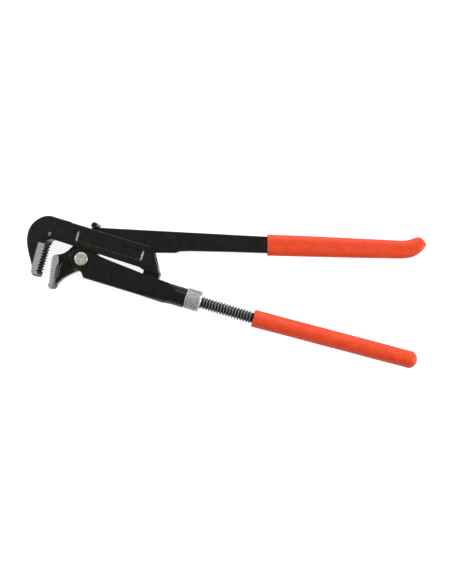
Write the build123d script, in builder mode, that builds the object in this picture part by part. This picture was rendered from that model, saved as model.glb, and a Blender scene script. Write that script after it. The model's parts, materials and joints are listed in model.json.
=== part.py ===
"""Angled pipe wrench with a lever jaw, a sliding hook jaw and a ring nut on a threaded handle.

The wrench lies on its side. Its jaws swing and slide in a plane parallel to XY, half a thickness
above the ground, with +Z pointing up out of the flank. Every length is in millimetres.
"""

import os
from math import cos, radians, sin

from build123d import *

os.makedirs("parts", exist_ok=True)

# ---------------------------------------------------------------- layout
MID = 11.0  # height of the plane in which the jaws move
PIVOT_X, PIVOT_Y = -144.664, 32.925  # lever pivot
TOOL_TILT = 17.0  # the tool axis dips below +X by this angle, in degrees

tilt = radians(TOOL_TILT)
# The tool plane has its own x along the spindle, towards the handles, and its y towards the lever.
TOOL = Plane(origin=(PIVOT_X, PIVOT_Y, MID), x_dir=(cos(tilt), -sin(tilt), 0), z_dir=(0, 0, 1))
# The lever plane is parallel to the row's own axes, with its origin at the pivot.
LEVER = Plane(origin=(PIVOT_X, PIVOT_Y, MID), x_dir=(1, 0, 0), z_dir=(0, 0, 1))

SPINDLE_V = -6.6  # spindle axis below the pivot, in the tool plane


def tool_point(u, v, w=0.0):
    """A point of the tool plane, w above it, in the row's axes."""
    return TOOL.from_local_coords(Vector(u, v, w))


# Its own x is radial and its own y runs along the spindle, so profiles are drawn as (radius, station).
AXIS_U = Vector(cos(tilt), -sin(tilt), 0)
AXIS_V = Vector(sin(tilt), cos(tilt), 0)
SPINDLE = Plane(origin=tool_point(0, SPINDLE_V), x_dir=-AXIS_V, z_dir=(0, 0, 1))
SPINDLE_AXIS = Axis(tool_point(0, SPINDLE_V), AXIS_U)

# ---------------------------------------------------------------- hook jaw
HEAD_HALF = 11.0  # half thickness of the jaw's head
EDGE_R = 0.8  # rounding of the forgings' long edges
SHANK_HALF = 10.2
SHANK_BOTTOM, SHANK_TOP = 10.2, 31.5
SHANK_BOTTOM_END = 8.9  # the shank deepens a little towards the arm
HEAD_TOP = 32.0
STEP = 0.78  # sloped step from the head down to the shank's flank
TOOTH_FACE = -37.3  # crest line of the hook's teeth
JAW_FOOT = -29.9
FOOT_R = 2.2
TEETH, TOOTH_PITCH, TOOTH_DEPTH = 10, 2.9, 1.75
TOOTH_FIRST = 4.0
THROAT_R = 5.2
SLOT_HALF = 5.5
SLOT_START, SLOT_OPEN_END, SLOT_FLOOR = -22.0, 58.5, 14.0
PANEL_DEPTH = 1.2
PANEL = (-10.9, 57.6, 15.2, 25.6)  # from, to along the tool axis, then across it
PANEL_SLOPE = (2.0, 1.2)  # run of the draft at the ends and along the sides
ARM_LEFT, ARM_RIGHT, ARM_SHOULDER = 60.8, 78.2, 7.5
TONGUE = (62.0, 78.4)
TONGUE_HALF = 7.4
NECK_R = 5.0  # plain end of the spindle inside the tongue
LOCK_PIN_R, LOCK_PIN_U = 1.6, 70.0

with BuildPart() as shank:
    # the straight shank and the arm that reaches down to the spindle
    with BuildSketch(TOOL):
        with BuildLine():
            Polyline(
                (-36.0, SHANK_TOP),
                (61.5, SHANK_TOP),
                (66.8, 27.4),
                (ARM_RIGHT, ARM_SHOULDER),
                (ARM_LEFT, ARM_SHOULDER),
                (ARM_LEFT - 1.2, ARM_SHOULDER + 0.5),
                (ARM_LEFT - 3.3, SHANK_BOTTOM_END),
                (-33.0, SHANK_BOTTOM),
            )
            ThreePointArc(
                (-33.0, SHANK_BOTTOM),
                (-36.1, SHANK_BOTTOM - 1.5),
                (TOOTH_FACE, SHANK_BOTTOM - THROAT_R + 0.6),
            )
            Polyline(
                (TOOTH_FACE, SHANK_BOTTOM - THROAT_R + 0.6),
                (-42.0, 10.0),
                (-42.0, SHANK_TOP - 3.0),
                (-36.0, SHANK_TOP),
            )
        make_face()
    extrude(amount=SHANK_HALF, both=True)
    fillet(
        [
            e
            for e in shank.edges().filter_by(Axis.Z)
            if TOOL.to_local_coords(e.center()).X > 61.0 and TOOL.to_local_coords(e.center()).Y > 27.0
        ],
        3.0,
    )
    fillet(shank.edges().group_by(Axis.Z)[0] + shank.edges().group_by(Axis.Z)[-1], EDGE_R)

with BuildPart() as hook_jaw:
    # the thick head, with its big outer curve
    with BuildSketch(TOOL):
        with BuildLine():
            Polyline(
                (-43.2, JAW_FOOT + 3.1),
                (-41.8, JAW_FOOT + 1.2),
                (-39.6, JAW_FOOT),
                (TOOTH_FACE, JAW_FOOT),
                (TOOTH_FACE, SHANK_BOTTOM - THROAT_R + 0.6),
            )
            ThreePointArc(
                (TOOTH_FACE, SHANK_BOTTOM - THROAT_R + 0.6), (-36.7, 8.8), (-37.4, 12.6)
            )
            Spline((-37.4, 12.6), (-35.4, 20.8), (-30.2, 27.2), (-20.2, HEAD_TOP))
            Line((-20.2, HEAD_TOP), (-38.6, HEAD_TOP))
            Spline(
                (-38.6, HEAD_TOP),
                (-46.6, 29.9),
                (-52.0, 25.3),
                (-56.3, 18.6),
                (-57.8, 12.0),
                (-57.4, 5.2),
                (-55.6, -0.9),
                (-50.3, -11.4),
                (-44.3, -21.3),
                tangents=((-1, 0), (0.5, -0.87)),
            )
            Line((-44.3, -21.3), (-43.2, JAW_FOOT + 3.1))
        make_face()
    extrude(amount=HEAD_HALF, both=True)
    rims = hook_jaw.edges().group_by(Axis.Z)[-1] + hook_jaw.edges().group_by(Axis.Z)[0]
    foot = [e for e in rims if TOOL.to_local_coords(e.center()).Y < JAW_FOOT + 0.1]
    fillet(foot, FOOT_R)
    rims = hook_jaw.edges().group_by(Axis.Z)[-1] + hook_jaw.edges().group_by(Axis.Z)[0]
    step = [
        e
        for e in rims
        if -37.0 < TOOL.to_local_coords(e.center()).X < -22.0
        and 16.0 < TOOL.to_local_coords(e.center()).Y < HEAD_TOP - 1.0
    ]
    chamfer(step, STEP)
    rims = hook_jaw.edges().group_by(Axis.Z)[-1] + hook_jaw.edges().group_by(Axis.Z)[0]
    outer = [
        e
        for e in rims
        if TOOL.to_local_coords(e.center()).X < -45.0 or TOOL.to_local_coords(e.center()).Y > 30.5
    ]
    fillet(outer, 1.2)

    add(shank.part)

    # the tongue inside the channel, round below the spindle axis
    with BuildSketch(Plane(tool_point(TONGUE[0], SPINDLE_V), x_dir=(0, 0, -1), z_dir=AXIS_U)):
        Circle(TONGUE_HALF)
        with Locations((0, 8.0)):
            Rectangle(2 * TONGUE_HALF, 16.0)
    extrude(amount=TONGUE[1] - TONGUE[0])

    # drafted panels on both flanks
    for side in (1, -1):
        for level, shrink in ((SHANK_HALF, 0), (SHANK_HALF - PANEL_DEPTH, 1)):
            with BuildSketch(TOOL.offset(side * level)):
                with Locations(((PANEL[0] + PANEL[1]) / 2, (PANEL[2] + PANEL[3]) / 2)):
                    RectangleRounded(
                        PANEL[1] - PANEL[0] - 2 * shrink * PANEL_SLOPE[0],
                        PANEL[3] - PANEL[2] - 2 * shrink * PANEL_SLOPE[1],
                        1.6 - 0.8 * shrink,
                    )
        loft(mode=Mode.SUBTRACT)

    # slot for the lever: open below as far as the arm, then floored
    with BuildSketch(TOOL):
        with BuildLine():
            Polyline(
                (SLOT_START, 0.0),
                (SLOT_OPEN_END, 0.0),
                (SLOT_OPEN_END, SLOT_FLOOR),
                (95.0, SLOT_FLOOR),
                (95.0, 40.0),
                (SLOT_START, 40.0),
                close=True,
            )
        make_face()
    extrude(amount=SLOT_HALF, both=True, mode=Mode.SUBTRACT)

    # V-shaped teeth right across the head
    with BuildSketch(TOOL):
        for n in range(TEETH):
            crest = TOOTH_FIRST - n * TOOTH_PITCH
            with BuildLine():
                Polyline(
                    (TOOTH_FACE + 0.5, crest + 0.25),
                    (TOOTH_FACE - TOOTH_DEPTH, crest - TOOTH_PITCH / 2),
                    (TOOTH_FACE + 0.5, crest - TOOTH_PITCH - 0.25),
                    close=True,
                )
            make_face()
    extrude(amount=HEAD_HALF + 1, both=True, mode=Mode.SUBTRACT)

    # hole for the spindle's neck, and the cross hole of its lock pin
    with BuildSketch(Plane(tool_point(TONGUE[0], SPINDLE_V), x_dir=(0, 0, -1), z_dir=AXIS_U)):
        Circle(NECK_R)
    extrude(amount=TONGUE[1] - TONGUE[0], mode=Mode.SUBTRACT)
    with BuildSketch(TOOL):
        with Locations((LOCK_PIN_U, SPINDLE_V)):
            Circle(LOCK_PIN_R)
    extrude(amount=TONGUE_HALF + 1, both=True, mode=Mode.SUBTRACT)

# ---------------------------------------------------------------- spindle
THREAD_R, THREAD_ROOT, THREAD_PITCH = 6.35, 4.75, 3.0
THREAD = (84.0, 180.0)  # an exact number of turns
ROD_R = 6.65
HANDLE_START, HANDLE_LENGTH = 179.8, 169.0
HANDLE_BEND = 2.2  # the rod leans towards the lever by this angle, in degrees
GRIP_R, GRIP_INNER = 8.85, 6.7

bend = radians(HANDLE_BEND)
HANDLE_U = AXIS_U * cos(bend) + AXIS_V * sin(bend)
HANDLE_V = AXIS_V * cos(bend) - AXIS_U * sin(bend)
handle_root = tool_point(HANDLE_START, SPINDLE_V)
HANDLE = Plane(origin=handle_root, x_dir=-HANDLE_V, z_dir=(0, 0, 1))
HANDLE_AXIS = Axis(handle_root, HANDLE_U)
turns = round((THREAD[1] - THREAD[0]) / THREAD_PITCH)

with BuildPart() as spindle:
    with BuildSketch(SPINDLE):
        with BuildLine():
            rim = [(0, TONGUE[0] + 0.4), (NECK_R - 0.8, TONGUE[0] + 0.4)]
            rim += [(NECK_R, TONGUE[0] + 1.2), (NECK_R, TONGUE[1] + 1.5)]
            rim += [(THREAD_ROOT, TONGUE[1] + 2.0), (THREAD_ROOT, THREAD[0])]
            for n in range(turns):
                start = THREAD[0] + n * THREAD_PITCH
                rim += [
                    (THREAD_R, start + 0.27 * THREAD_PITCH),
                    (THREAD_R, start + 0.63 * THREAD_PITCH),
                    (THREAD_ROOT, start + 0.9 * THREAD_PITCH),
                    (THREAD_ROOT, start + THREAD_PITCH),
                ]
            rim += [(THREAD_ROOT, THREAD[1] + 2.0), (0, THREAD[1] + 2.0)]
            Polyline(*rim, close=True)
        make_face()
    revolve(axis=SPINDLE_AXIS)
    # the plain rod inside the grip
    with BuildSketch(HANDLE):
        with BuildLine():
            Polyline(
                (0, 0.8),
                (ROD_R - 1.0, 0.8),
                (ROD_R, 1.8),
                (ROD_R, HANDLE_LENGTH - 10.0),
                (ROD_R - 3.0, HANDLE_LENGTH - 4.0),
                (0, HANDLE_LENGTH - 4.0),
                close=True,
            )
        make_face()
    revolve(axis=HANDLE_AXIS)
    with BuildSketch(TOOL):
        with Locations((LOCK_PIN_U, SPINDLE_V)):
            Circle(LOCK_PIN_R)
    extrude(amount=TONGUE_HALF + 1, both=True, mode=Mode.SUBTRACT)

with BuildPart() as spindle_lock_pin:
    with BuildSketch(TOOL):
        with Locations((LOCK_PIN_U, SPINDLE_V)):
            Circle(LOCK_PIN_R)
    extrude(amount=TONGUE_HALF - 0.7, both=True)
    chamfer(spindle_lock_pin.edges().filter_by(GeomType.CIRCLE), 0.3)

with BuildPart() as lower_grip:
    with BuildSketch(HANDLE):
        with BuildLine():
            Polyline((0, HANDLE_LENGTH - 4.0), (0, HANDLE_LENGTH + 0.6), (1.2, HANDLE_LENGTH + 0.5))
            Polyline((1.2, HANDLE_LENGTH + 0.5), (1.9, HANDLE_LENGTH - 0.3))
            ThreePointArc(
                (1.9, HANDLE_LENGTH - 0.3),
                (GRIP_R * 0.74, HANDLE_LENGTH - GRIP_R * 0.38),
                (GRIP_R, HANDLE_LENGTH - GRIP_R),
            )
            Polyline(
                (GRIP_R, HANDLE_LENGTH - GRIP_R),
                (GRIP_R, 0.5),
                (GRIP_R - 0.5, 0),
                (GRIP_INNER, 0),
                (GRIP_INNER, HANDLE_LENGTH - 10.0),
                (GRIP_INNER - 3.0, HANDLE_LENGTH - 4.0),
                (0, HANDLE_LENGTH - 4.0),
            )
        make_face()
    revolve(axis=HANDLE_AXIS)

# ---------------------------------------------------------------- housing
WALL = 1.8
CHANNEL_HALF = 9.8
CHANNEL_FLOOR = -17.7
CHANNEL_END = 109.0
# Station, floor and corner radius of the outside: the flat bottom turns into a full round.
CHANNEL_SHAPE = (
    (-30.0, CHANNEL_FLOOR, 4.0),
    (62.0, CHANNEL_FLOOR, 4.0),
    (88.0, CHANNEL_FLOOR - 0.8, 8.4),
    (96.0, -17.4, CHANNEL_HALF - 0.2),
    (140.0, -17.2, CHANNEL_HALF - 0.2),
)
CHEEK_R = 10.6
SADDLE_TOP = 8.6
RIVET_R, RIVET_HEAD_R, RIVET_HEAD_H = 5.0, 6.5, 1.2


def channel_envelope(inset):
    """A tall bar along the tool axis, its surface inset from the channel's outside."""
    half = CHANNEL_HALF - inset
    with BuildPart() as bar:
        for stretch in zip(CHANNEL_SHAPE, CHANNEL_SHAPE[1:]):
            for station, outside_floor, outside_radius in stretch:
                floor, radius = outside_floor + inset, outside_radius - inset
                with BuildSketch(Plane(tool_point(station, 0), x_dir=(0, 0, -1), z_dir=AXIS_U)):
                    with BuildLine():
                        Line((radius - half, floor), (half - radius, floor))
                        JernArc((half - radius, floor), (1, 0), radius, 90)
                        Polyline(
                            (half, floor + radius), (half, 20), (-half, 20), (-half, floor + radius)
                        )
                        JernArc((-half, floor + radius), (0, -1), radius, 90)
                    make_face()
            loft(ruled=True)
    return bar.part


outside = channel_envelope(0.0)
inside = channel_envelope(WALL)

with BuildPart() as housing:
    with BuildSketch(TOOL):
        with BuildLine():
            saddle_left = (-((CHEEK_R**2 - SADDLE_TOP**2) ** 0.5), SADDLE_TOP)
            heel = (-0.9, -((CHEEK_R**2 - 0.9**2) ** 0.5))
            ThreePointArc(saddle_left, (-CHEEK_R, 0), heel)
            Polyline(
                heel,
                (2.2, -11.9),
                (4.1, -13.0),
                (5.3, -14.6),
                (6.1, -16.1),
                (7.2, CHANNEL_FLOOR),
                (8.4, CHANNEL_FLOOR - 2),
                (CHANNEL_END, CHANNEL_FLOOR - 2),
                (CHANNEL_END, -3.0),
                (98.0, -2.6),
                (95.0, -1.0),
                (93.6, 1.5),
                (89.4, 2.4),
                (78.0, 3.0),
                (60.0, 3.8),
                (47.0, 4.9),
                (30.0, 6.2),
                (20.0, 7.05),
                (13.6, 7.8),
                (12.2, SADDLE_TOP),
                saddle_left,
            )
        make_face()
    extrude(amount=CHANNEL_HALF + 2, both=True)
    add(outside, mode=Mode.INTERSECT)
    add(inside, mode=Mode.SUBTRACT)
    with BuildSketch(TOOL):
        Circle(RIVET_R)
    extrude(amount=CHANNEL_HALF + 1, both=True, mode=Mode.SUBTRACT)

with BuildPart() as pivot_rivet:
    with BuildSketch(TOOL):
        Circle(RIVET_R)
    extrude(amount=CHANNEL_HALF, both=True)
    with BuildSketch(TOOL.offset(CHANNEL_HALF)):
        Circle(RIVET_HEAD_R)
    extrude(amount=RIVET_HEAD_H)
    with BuildSketch(TOOL.offset(-CHANNEL_HALF)):
        Circle(RIVET_HEAD_R)
    extrude(amount=-RIVET_HEAD_H)
    faces_out = pivot_rivet.faces().sort_by(Axis.Z)
    fillet(faces_out[-1].edges() + faces_out[0].edges(), 0.7)

# ---------------------------------------------------------------- bush, nut and snap ring
BUSH = (92.5, CHANNEL_END)
BUSH_HALF, BUSH_TOP = 7.95, 2.4
BUSH_BORE = 6.7
SPIGOT_R, SPIGOT_END = 7.8, 115.6
RING = (111.4, 112.6)
RING_INNER, RING_OUTER = 7.25, 8.5
NUT = (109.3, 125.0)
NUT_R = 10.4
NUT_RUN = 0.08  # radial running clearance of the nut

ACROSS = Plane(tool_point(0, SPINDLE_V), x_dir=(0, 0, -1), z_dir=AXIS_U)

with BuildPart() as spindle_bush:
    with BuildSketch(ACROSS.offset(BUSH[0])):
        Circle(BUSH_HALF)
        with Locations((0, (BUSH_TOP - SPINDLE_V) / 2)):
            Rectangle(2 * BUSH_HALF - 2.6, BUSH_TOP - SPINDLE_V)
    extrude(amount=BUSH[1] - BUSH[0])
    shoulders = [
        e
        for e in spindle_bush.edges().filter_by(lambda e: abs(e.length - (BUSH[1] - BUSH[0])) < 0.01)
        if TOOL.to_local_coords(e.center()).Y > BUSH_TOP - 0.5
    ]
    fillet(shoulders, 2.0)
    with BuildSketch(ACROSS.offset(BUSH[1])):
        Circle(SPIGOT_R)
    extrude(amount=SPIGOT_END - BUSH[1])
    with BuildSketch(ACROSS.offset(BUSH[0])):
        Circle(BUSH_BORE)
    extrude(amount=SPIGOT_END - BUSH[0], mode=Mode.SUBTRACT)
    with BuildSketch(ACROSS.offset(RING[0])):
        Circle(SPIGOT_R + 1)
        Circle(RING_INNER, mode=Mode.SUBTRACT)
    extrude(amount=RING[1] - RING[0], mode=Mode.SUBTRACT)

with BuildPart() as nut_snap_ring:
    with BuildSketch(ACROSS.offset(RING[0])):
        Circle(RING_OUTER)
        Circle(RING_INNER, mode=Mode.SUBTRACT)
        with Locations((0, -RING_OUTER)):
            Rectangle(3.0, 4.0, mode=Mode.SUBTRACT)
    extrude(amount=RING[1] - RING[0])

with BuildPart() as adjusting_nut:
    with BuildSketch(ACROSS.offset(NUT[0])):
        Circle(NUT_R)
    extrude(amount=NUT[1] - NUT[0])
    chamfer(adjusting_nut.edges().filter_by(GeomType.CIRCLE), 0.9)
    with BuildSketch(ACROSS.offset(NUT[0])):
        Circle(SPIGOT_R + NUT_RUN)
    extrude(amount=SPIGOT_END + 0.5 - NUT[0], mode=Mode.SUBTRACT)
    with BuildSketch(ACROSS.offset(RING[0] - 0.4)):
        Circle(RING_OUTER + 0.4)
    extrude(amount=RING[1] - RING[0] + 0.8, mode=Mode.SUBTRACT)
    with BuildSketch(ACROSS.offset(NUT[0])):
        Circle(THREAD_R + NUT_RUN)
    extrude(amount=NUT[1] - NUT[0], mode=Mode.SUBTRACT)

# ---------------------------------------------------------------- lever
PAD_HALF, TANG_HALF, WEB_HALF = 11.0, 7.7, 5.1
BOSS_R = 9.1
SHOULDER = (14.0, 11.4)  # foot and top radius of the cone that thickens the web into the tang
CREST_TOP, CREST_FOOT = (-29.3, -1.0), (-31.9, -24.0)
LEVER_TEETH, LEVER_TOOTH_DEPTH = 8, 1.35
PIN_AT, PIN_R, PIN_NECK_R = (13.0, 33.1), 3.3, 1.9
NOSE_R = 3.3
GRIP_START = 184.2
GRIP_HALF = 6.5

throat = [(-24.8, 4.6), (-21.9, 4.8), (-18.9, 5.6), (-16.0, 7.1), (-13.0, 9.3), (-11.2, 11.2)]
back = [(-27.8, -27.2), (-25.8, -24.8), (-23.7, -22.8), (-21.7, -20.9), (-19.7, -19.25)]
back += [(-15.7, -16.8), (-11.7, -14.7), (-7.6, -12.8), (-5.6, -12.0)]
# The pad's flat, and the foot of its sloping side, with as many corners.
pad_flat = [CREST_FOOT, CREST_TOP, (-28.0, 0.2), (-27.9, 2.4), (-26.6, 3.6), (-23.4, 3.6), (-21.9, 2.0)]
pad_flat += [(-22.0, -3.6), (-24.7, -8.4), (-25.5, -12.6), (-27.1, -22.4), (-28.3, -26.8)]
pad_flat += [(-29.8, -29.3), (-31.2, -29.2), (-32.6, -26.4)]
pad_foot = [CREST_FOOT, CREST_TOP, (-28.0, 0.2), (-27.9, 2.6), (-26.6, 4.2), (-22.8, 4.3), (-20.2, 2.4)]
pad_foot += [(-20.8, -4.2), (-22.3, -9.6), (-23.4, -13.8), (-25.0, -21.0), (-26.2, -26.0)]
pad_foot += [(-28.6, -29.8), (-31.2, -29.8), (-32.6, -26.4)]

with BuildPart() as blade:
    # the blade that rises through the slot and becomes the handle
    with BuildSketch(LEVER):
        with BuildLine():
            Polyline(
                (-16.0, 6.9),
                (-13.0, 9.1),
                (-11.3, 10.9),
                (-8.4, 13.9),
                (10.4, 31.4),
                (10.8, 34.0),
                (15.8, 33.6),
                (17.4, 31.3),
                (27.4, 30.7),
                (GRIP_START - 6.8, 22.7),
                (GRIP_START + 133.0, 16.3),
                (323.0, 15.8),
                (327.0, 13.0),
                (326.0, 7.0),
                (GRIP_START + 133.0, 3.6),
                (GRIP_START, 6.0),
                (147.4, 7.2),
                (107.4, 8.1),
                (97.4, 7.8),
                (92.4, 6.2),
                (72.4, 6.5),
                (19.4, 14.2),
                (17.0, 12.0),
                (14.6, 3.9),
                (10.6, -4.3),
                (5.3, -9.9),
                (-0.5, -11.8),
                (-13.0, -2.0),
                close=True,
            )
        make_face()
        with Locations(PIN_AT):
            Circle(NOSE_R)
    extrude(amount=WEB_HALF, both=True)
    fillet(
        [
            e
            for e in blade.edges().group_by(Axis.Z)[0] + blade.edges().group_by(Axis.Z)[-1]
            if e.center().X - PIVOT_X > 30.0
        ],
        EDGE_R,
    )

with BuildPart() as lever:
    # the cone that thickens the web into the tang, on both sides, cut to the jaw's outline
    for side in (1, -1):
        for level, radius in ((WEB_HALF, SHOULDER[0]), (TANG_HALF, SHOULDER[1])):
            with BuildSketch(LEVER.offset(side * level)):
                Circle(radius)
        loft()
    with BuildSketch(LEVER) as jaw_outline:
        with BuildLine():
            Spline(*throat)
            Polyline(throat[-1], (-5.0, 7.6), (3.0, -8.6), (0.6, -11.2), (-3.15, -11.8), back[-1])
            Spline(*reversed(back))
            Polyline(back[0], (-28.8, -29.8), (-31.2, -29.8), (-32.6, -26.4), CREST_FOOT)
            Polyline(CREST_FOOT, CREST_TOP, (-28.0, 0.2), (-27.9, 2.6), (-26.6, 4.3), throat[0])
        make_face()
    extrude(amount=TANG_HALF + 1, both=True, mode=Mode.INTERSECT)
    # the web itself
    extrude(jaw_outline.sketch, amount=WEB_HALF, both=True)
    # the thick pad that carries the teeth, sloping down to the web behind them
    for side in (1, -1):
        for level, corners in ((WEB_HALF, pad_foot), (PAD_HALF, pad_flat)):
            with BuildSketch(LEVER.offset(side * level)):
                with BuildLine():
                    Polyline(*corners, close=True)
                make_face()
        loft(ruled=True)
    # the boss around the pivot
    with BuildSketch(LEVER):
        Circle(BOSS_R)
    extrude(amount=TANG_HALF, both=True)

    add(blade.part)

    # teeth
    with BuildSketch(LEVER):
        for n in range(LEVER_TEETH):
            f0, f1 = n / LEVER_TEETH, (n + 1) / LEVER_TEETH
            a = Vector(*CREST_TOP) * (1 - f0) + Vector(*CREST_FOOT) * f0
            b = Vector(*CREST_TOP) * (1 - f1) + Vector(*CREST_FOOT) * f1
            along = (b - a).normalized()
            inward = Vector(-along.Y, along.X)
            root = (a + b) / 2 + inward * LEVER_TOOTH_DEPTH
            a_out = a - inward * 0.5 - along * 0.2
            b_out = b - inward * 0.5 + along * 0.2
            with BuildLine():
                Polyline((a_out.X, a_out.Y), (root.X, root.Y), (b_out.X, b_out.Y), close=True)
            make_face()
    extrude(amount=PAD_HALF + 1, both=True, mode=Mode.SUBTRACT)

    with BuildSketch(LEVER):
        Circle(RIVET_R + 0.06)
        with Locations(PIN_AT):
            Circle(PIN_NECK_R)
    extrude(amount=TANG_HALF + 1, both=True, mode=Mode.SUBTRACT)

with BuildPart() as guide_pin:
    with BuildSketch(LEVER):
        with Locations(PIN_AT):
            Circle(PIN_NECK_R)
    extrude(amount=WEB_HALF, both=True)
    with BuildSketch(LEVER.offset(WEB_HALF)):
        with Locations(PIN_AT):
            Circle(PIN_R)
    extrude(amount=HEAD_HALF - WEB_HALF)
    with BuildSketch(LEVER.offset(-WEB_HALF)):
        with Locations(PIN_AT):
            Circle(PIN_R)
    extrude(amount=WEB_HALF - HEAD_HALF)
    ends = guide_pin.faces().sort_by(Axis.Z)
    fillet(ends[-1].edges() + ends[0].edges(), 1.6)

with BuildPart() as upper_grip:
    with BuildSketch(LEVER):
        with BuildLine():
            Line((312.0, 0.55), (GRIP_START, 3.4))
            Line((GRIP_START, 3.4), (GRIP_START, 24.8))
            Line((GRIP_START, 24.8), (312.0, 18.95))
            Spline(
                (312.0, 18.95),
                (323.0, 19.1),
                (331.0, 21.4),
                (335.6, 22.2),
                (340.0, 19.6),
                (342.9, 14.5),
                (340.0, 9.0),
                (333.0, 3.9),
                (324.0, 1.1),
                (312.0, 0.55),
                tangents=((1, -0.0458), (-1, 0.0223)),
            )
        make_face()
    extrude(amount=GRIP_HALF, both=True)
    round_edges = [
        e
        for e in upper_grip.edges()
        if abs(abs(e.center().Z - MID) - GRIP_HALF) < 0.01 and e.center().X - PIVOT_X > GRIP_START + 1.0
    ]
    fillet(round_edges, 1.8)
    add(lever.part, mode=Mode.SUBTRACT)

# ---------------------------------------------------------------- output
built = {
    "housing": housing,
    "spindle_bush": spindle_bush,
    "nut_snap_ring": nut_snap_ring,
    "adjusting_nut": adjusting_nut,
    "pivot_rivet": pivot_rivet,
    "hook_jaw": hook_jaw,
    "spindle": spindle,
    "spindle_lock_pin": spindle_lock_pin,
    "lower_grip": lower_grip,
    "lever": lever,
    "guide_pin": guide_pin,
    "upper_grip": upper_grip,
}
for name, piece in built.items():
    piece.part.label = name
    export_step(piece.part, f"parts/{name}.step")
    print(name, len(piece.part.solids()), round(piece.part.volume))
corners = [p.part.bounding_box() for p in built.values()]
print("X", min(b.min.X for b in corners), max(b.max.X for b in corners))
print("Y", min(b.min.Y for b in corners), max(b.max.Y for b in corners))
print("Z", min(b.min.Z for b in corners), max(b.max.Z for b in corners))
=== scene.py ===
"""Finishes and fine shapes of an angled pipe wrench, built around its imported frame."""

import json
from math import cos, radians, sin, tau

import bmesh
import bpy
from mathutils import Matrix, Vector


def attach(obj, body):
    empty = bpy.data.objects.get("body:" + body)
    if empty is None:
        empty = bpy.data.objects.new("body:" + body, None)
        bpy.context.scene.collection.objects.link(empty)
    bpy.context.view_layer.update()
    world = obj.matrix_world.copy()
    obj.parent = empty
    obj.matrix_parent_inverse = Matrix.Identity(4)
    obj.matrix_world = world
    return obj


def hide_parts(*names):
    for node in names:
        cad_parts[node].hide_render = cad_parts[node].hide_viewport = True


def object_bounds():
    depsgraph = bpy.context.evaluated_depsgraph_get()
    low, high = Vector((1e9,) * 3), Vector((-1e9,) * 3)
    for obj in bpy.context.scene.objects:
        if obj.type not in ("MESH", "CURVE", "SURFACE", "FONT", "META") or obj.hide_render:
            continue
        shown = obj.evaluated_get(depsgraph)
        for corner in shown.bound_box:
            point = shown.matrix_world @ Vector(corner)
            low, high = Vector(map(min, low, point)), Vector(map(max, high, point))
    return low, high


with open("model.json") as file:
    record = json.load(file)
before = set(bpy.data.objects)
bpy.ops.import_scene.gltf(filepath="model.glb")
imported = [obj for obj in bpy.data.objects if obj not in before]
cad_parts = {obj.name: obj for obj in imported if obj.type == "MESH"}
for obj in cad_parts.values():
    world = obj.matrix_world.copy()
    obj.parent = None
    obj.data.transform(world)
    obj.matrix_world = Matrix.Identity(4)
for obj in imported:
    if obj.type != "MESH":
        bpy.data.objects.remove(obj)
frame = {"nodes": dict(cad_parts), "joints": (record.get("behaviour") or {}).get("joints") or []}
cad_low, cad_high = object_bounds()

# ---------------------------------------------------------------- places, in metres
MM = 0.001
joints = {joint["name"]: joint for joint in frame["joints"]}
PIVOT = Vector(joints["lever_pivot"]["pos_m"])
SPINDLE_POINT = Vector(joints["nut_turn"]["pos_m"])
AXIS_U = Vector(joints["nut_turn"]["axis"]).normalized()
AXIS_V = Vector((-AXIS_U.y, AXIS_U.x, 0.0))
TILT = radians(17.0)
MID = PIVOT.z
HEAD_HALF = 11.0 * MM
SPINDLE_V = (SPINDLE_POINT - PIVOT).dot(AXIS_V)
HANDLE_START, HANDLE_LENGTH, HANDLE_BEND = 179.8 * MM, 169.0 * MM, radians(2.2)
HANDLE_AXIS = AXIS_U * cos(HANDLE_BEND) + AXIS_V * sin(HANDLE_BEND)


def axis_frame(u, axis):
    """The place whose origin lies u along the spindle from the pivot and whose +Z is the axis."""
    origin = PIVOT + AXIS_U * u + AXIS_V * SPINDLE_V
    return Matrix.Translation(origin) @ axis.to_track_quat("Z", "Y").to_matrix().to_4x4()


def new_object(name, mesh):
    piece = bpy.data.objects.new(name, mesh)
    bpy.context.scene.collection.objects.link(piece)
    return piece


# ---------------------------------------------------------------- shader building blocks
class Tree:
    """Short hand for adding nodes to one node tree."""

    def __init__(self, tree):
        self.tree, self.nodes, self.links = tree, tree.nodes, tree.links

    def add(self, kind, inputs=None, **settings):
        node = self.nodes.new(kind)
        for key, value in settings.items():
            setattr(node, key, value)
        for key, value in (inputs or {}).items():
            self.join(value, node.inputs[key])
        return node

    def join(self, value, socket):
        if isinstance(value, bpy.types.NodeSocket):
            self.links.new(value, socket)
        else:
            socket.default_value = value

    def math(self, operation, a, b=None, clamp=False):
        node = self.nodes.new("ShaderNodeMath")
        node.operation, node.use_clamp = operation, clamp
        self.join(a, node.inputs[0])
        if b is not None:
            self.join(b, node.inputs[1])
        return node.outputs[0]

    def ramp(self, value, low, high, to_low=0.0, to_high=1.0):
        node = self.add("ShaderNodeMapRange", {"Value": value}, interpolation_type="SMOOTHSTEP")
        for key, number in zip(("From Min", "From Max", "To Min", "To Max"), (low, high, to_low, to_high)):
            self.join(number, node.inputs[key])
        return node.outputs["Result"]

    def noise(self, vector, scale, detail=3.0, roughness=0.55):
        inputs = {"Vector": vector, "Scale": scale, "Detail": detail, "Roughness": roughness}
        return self.add("ShaderNodeTexNoise", inputs).outputs["Fac"]

    def mix(self, factor, a, b):
        node = self.add("ShaderNodeMix", data_type="RGBA")
        self.join(factor, node.inputs[0])
        self.join(a, node.inputs[6])
        self.join(b, node.inputs[7])
        return node.outputs[2]

    def group(self, group, **values):
        node = self.add("ShaderNodeGroup", node_tree=group)
        for key, value in values.items():
            self.join(value, node.inputs[key.replace("_", " ")])
        return node.outputs


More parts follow.
